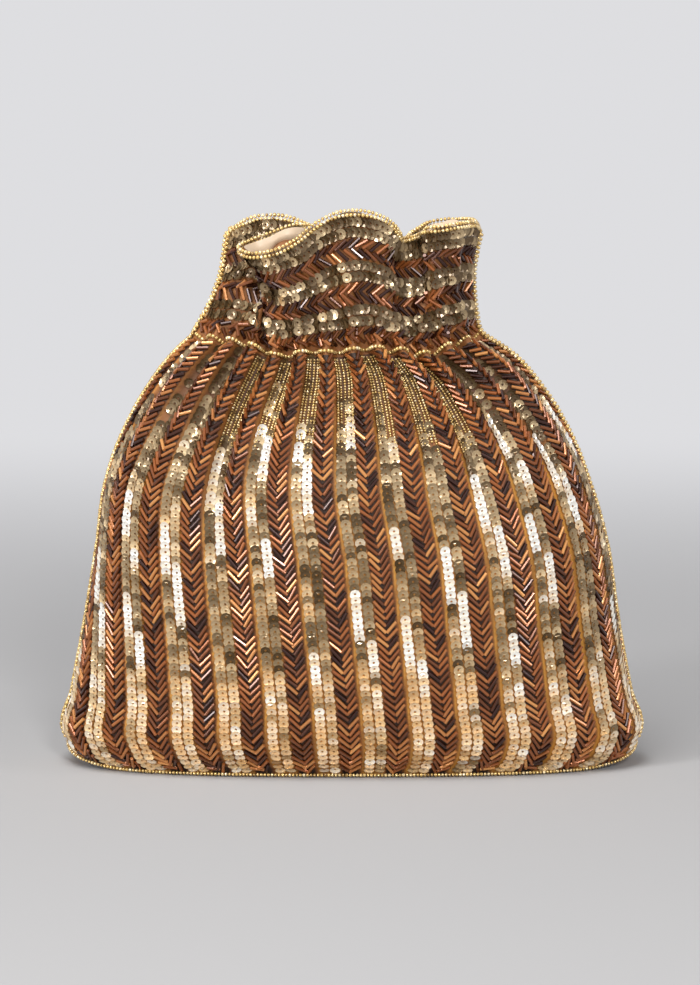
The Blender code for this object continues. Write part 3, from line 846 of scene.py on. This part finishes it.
def lining_rows(side):
    """The lining's rows on one side, from the rim down to the middle of its floor."""
    surface = collars[side]
    flats = np.linspace(surface.flats[0], surface.flats[-1], LINING_COLUMNS)
    depth = tucked(flats, flats[0], LINING_DEPTH - GROUND_DEPTH) - GROUND_DEPTH
    rows = []
    for up in np.linspace(COLLAR_LENGTH, 0, 26):
        row = surface.at(up, flats, depth)
        mix = ease((COLLAR_LENGTH - up - LINING_AT_RIM) / LINING_DRAW)
        rows.append(row * (1 - mix) + drawn_in(row, side) * mix)
    neck = rows[-1]
    shares = np.linspace(0, 1, LINING_COLUMNS)
    for height in np.linspace(NECK_HEIGHT * 0.97, LINING_FOOT, 20):
        ring = smooth_ring(height, shares, side)
        drop = (NECK_HEIGHT - height) / NECK_HEIGHT
        in_body = LINING_SCALE + LINING_GROWTH * drop
        ring[:, :2] *= LINING_TOP_SCALE if height > LINING_TOP else in_body
        if height > LINING_SHOULDER:
            mix = ease((height - LINING_SHOULDER) / LINING_BLEND)
            ring[:, :2] = ring[:, :2] * (1 - mix) + neck[:, :2] * LINING_NECK_SCALE * mix
        rows.append(ring)
    floor = rows[-1].copy()
    floor[:, 1] *= LINING_CLOSED
    floor[:, 2] = LINING_FLOOR
    return rows + [floor]


def lining():
    """The satin bag inside, which follows the collar and hangs down to the base."""
    points = np.array([np.concatenate([front, back[-2:0:-1]])
                       for front, back in zip(lining_rows(FRONT), lining_rows(BACK))])
    count = points.shape[1]
    faces = []
    for i in range(len(points) - 1):
        for j in range(count):
            k = (j + 1) % count
            faces.append((i * count + j, i * count + k, (i + 1) * count + k,
                          (i + 1) * count + j))
    tones = np.clip(rng.normal(0.5, 0.02, points.shape[0] * count), 0, 1)
    return make_piece("satin_lining", points.reshape(-1, 3), faces, "satin",
                      ["lining"], tones)


def rim_and_neck_seeds():
    """Two lines of beads on the rim, and one over the neck seam."""
    rim, neck = [], []
    for side in (FRONT, BACK):
        surface = collars[side]
        flats = np.linspace(surface.flats[0], surface.flats[-1], 700)
        edge = surface.at(COLLAR_LENGTH, flats, RIM_SEED_INSET)
        up = unit(surface.up.read(COLLAR_LENGTH, flats))
        out = unit(surface.normal.read(COLLAR_LENGTH, flats))
        low, high = RIM_SEED_RISES
        rim += [edge + up * low + out * RIM_SEED_OUT, edge + up * high]
        neck.append(surface.at(0.0, flats, NECK_SEED_OUT) - [0, 0, NECK_SEAM / 2])
    add_seeds("rim_seed_beads", rim, ["rim_beading"])
    add_seeds("neck_seed_beads", neck, ["neck_beading"])


def pleat_seeds(side):
    """Small gold beads in the valleys near the neck, each line a little different in length."""
    lines = []
    for stripe in SUNKEN_STRIPES:
        for across in PLEAT_SEED_COLUMNS:
            up = np.linspace(rng.uniform(*PLEAT_SEED_STARTS), PLEAT_SEED_END, 140)
            flat = stripe_middle(stripe) + across
            lines.append(bodies[side].at(up, flat, PLEAT_SEED_OUT))
    word = WORDS[side]
    add_seeds(f"{word}_pleat_seed_beads", lines, [f"{word}_panel"], PLEAT_SEED_RADIUS)


def side_seeds(word, right):
    """The beads over a side seam, which go on up the collar."""
    ups = np.linspace(0.0, 1.0, 300)
    lengths = np.linspace(0.0, COLLAR_LENGTH, 120)
    edges = np.array([left_edge(NECK_HEIGHT * up) for up in ups])
    lines = []
    for side, inset, out in SIDE_SEED_LINES:
        body_flats = HALF_WIDTH_FLAT - inset if right else edges + inset
        body = bodies[side].at(ups, body_flats, out)
        flat = collars[side].flats[-1] - inset if right else collars[side].flats[0] + inset
        lines.append(np.concatenate([body, collars[side].at(lengths, flat, out)]))
    add_seeds(f"{word}_seed_beads", lines, [f"side_beading_{word}"], SIDE_SEED_RADIUS)


def foot_seeds():
    """The beads over the seam along the front's foot."""
    flats = np.linspace(-HALF_WIDTH_FLAT + FOOT_SEED_MARGIN,
                        HALF_WIDTH_FLAT - FOOT_SEED_MARGIN, 500)
    foot = bodies[FRONT].at(0.0, flats, FOOT_SEED_OUT)
    foot = foot - [0, 0, FOOT_HEIGHT * FOOT_SEED_DROP]
    add_seeds("bottom_seed_beads", [foot], ["bottom_beading"], FOOT_SEED_RADIUS)


for side in (FRONT, BACK):
    cloth = body_cloth(side)
    beads = [body_bugles(side), body_sequins(side)]
    cloth = collar_cloth(side)
    beads = [collar_bugles(side), collar_sequins(side)]
lining()
rim_and_neck_seeds()
for side in (FRONT, BACK):
    pleat_seeds(side)
side_seeds("left", right=False)
side_seeds("right", right=True)
foot_seeds()


def seen_rays(nodes, links):
    """1 for the rays that show the backdrop: the camera's, and those in metal and glass."""
    rays = nodes.new("ShaderNodeLightPath")
    seen = rays.outputs["Is Camera Ray"]
    for kind in ("Is Glossy Ray", "Is Transmission Ray"):
        either = nodes.new("ShaderNodeMath")
        either.operation = "MAXIMUM"
        links.new(seen, either.inputs[0])
        links.new(rays.outputs[kind], either.inputs[1])
        seen = either.outputs["Value"]
    return seen


def make_floor():
    """A pale floor that sweeps up into a backdrop."""
    profile = [(-3.0, 0.0), (SWEEP_START, 0.0)]
    profile += [(SWEEP_START + SWEEP_RADIUS * math.sin(turn),
                 SWEEP_RADIUS - SWEEP_RADIUS * math.cos(turn))
                for turn in np.linspace(0.1, math.pi / 2, 16)]
    profile.append((SWEEP_START + SWEEP_RADIUS, 4.0))
    points = [(x, y, z) for y, z in profile for x in (-4.0, 4.0)]
    faces = [(2 * i, 2 * i + 1, 2 * i + 3, 2 * i + 2) for i in range(len(profile) - 1)]
    mesh = bpy.data.meshes.new("floor")
    mesh.from_pydata(points, [], faces)
    mesh.polygons.foreach_set("use_smooth", np.full(len(faces), True))
    material = bpy.data.materials.new("floor")
    material.use_nodes = True
    shader = material.node_tree.nodes["Principled BSDF"]
    socket(shader, "Base Color", FLOOR_COLOUR)
    socket(shader, "Roughness", 0.9)
    socket(shader, "Specular IOR Level", 0.1)
    nodes, links = material.node_tree.nodes, material.node_tree.links
    where = nodes.new("ShaderNodeTexCoord")
    parts = nodes.new("ShaderNodeSeparateXYZ")
    away = nodes.new("ShaderNodeMapRange")
    away.interpolation_type = "SMOOTHSTEP"
    away.inputs["From Min"].default_value = 0.1
    away.inputs["From Max"].default_value = 1.1
    glow = nodes.new("ShaderNodeEmission")
    glow.inputs["Color"].default_value = BACKDROP_COLOUR
    mix = nodes.new("ShaderNodeMixShader")
    links.new(where.outputs["Object"], parts.inputs["Vector"])
    links.new(parts.outputs["Y"], away.inputs["Value"])
    shown = nodes.new("ShaderNodeMath")
    shown.operation = "MULTIPLY"
    links.new(away.outputs["Result"], shown.inputs[0])
    links.new(seen_rays(nodes, links), shown.inputs[1])
    links.new(shown.outputs["Value"], mix.inputs["Fac"])
    links.new(shader.outputs["BSDF"], mix.inputs[1])
    links.new(glow.outputs["Emission"], mix.inputs[2])
    links.new(mix.outputs["Shader"], nodes["Material Output"].inputs["Surface"])
    mesh.materials.append(material)
    floor = bpy.data.objects.new("floor", mesh)
    bpy.context.scene.collection.objects.link(floor)


def make_light(name, place, size, power):
    light = bpy.data.lights.new(name, "AREA")
    light.shape = "RECTANGLE"
    light.size, light.size_y = size
    light.energy = power
    obj = bpy.data.objects.new(name, light)
    obj.location = place
    aim = Vector(LIGHT_TARGET) - Vector(place)
    obj.rotation_euler = aim.to_track_quat("-Z", "Y").to_euler()
    bpy.context.scene.collection.objects.link(obj)


make_floor()
make_light("top_light", (-0.3, -0.6, 1.7), (0.9, 0.9), 24)
make_light("front_light", (0.35, -1.8, 0.9), (0.3, 0.3), 17)
make_light("left_light", (-1.3, -1.0, 0.6), (0.3, 0.8), 16)
make_light("right_light", (1.5, -0.5, 0.5), (0.3, 0.8), 6)

world = bpy.data.worlds.new("studio")
world.use_nodes = True
world_nodes, world_links = world.node_tree.nodes, world.node_tree.links
ambient = world_nodes["Background"]
ambient.inputs["Color"].default_value = (0.75, 0.75, 0.77, 1)
ambient.inputs["Strength"].default_value = 0.25
backdrop = world_nodes.new("ShaderNodeBackground")
backdrop.inputs["Color"].default_value = BACKDROP_COLOUR
either = world_nodes.new("ShaderNodeMixShader")
world_links.new(seen_rays(world_nodes, world_links), either.inputs["Fac"])
world_links.new(ambient.outputs["Background"], either.inputs[1])
world_links.new(backdrop.outputs["Background"], either.inputs[2])
world_links.new(either.outputs["Shader"], world_nodes["World Output"].inputs["Surface"])
bpy.context.scene.world = world
bpy.context.scene.view_settings.view_transform = "Standard"

camera = bpy.data.cameras.new("camera")
camera.sensor_fit = "HORIZONTAL"
camera.sensor_width = 36
camera.lens = 176
view = bpy.data.objects.new("camera", camera)
target = Vector(CAMERA_TARGET)
back_and_up = Vector((0, -math.cos(CAMERA_ELEVATION), math.sin(CAMERA_ELEVATION)))
view.location = target + back_and_up * CAMERA_DISTANCE
view.rotation_euler = (target - view.location).to_track_quat("-Z", "Y").to_euler()
bpy.context.scene.collection.objects.link(view)
bpy.context.scene.camera = view
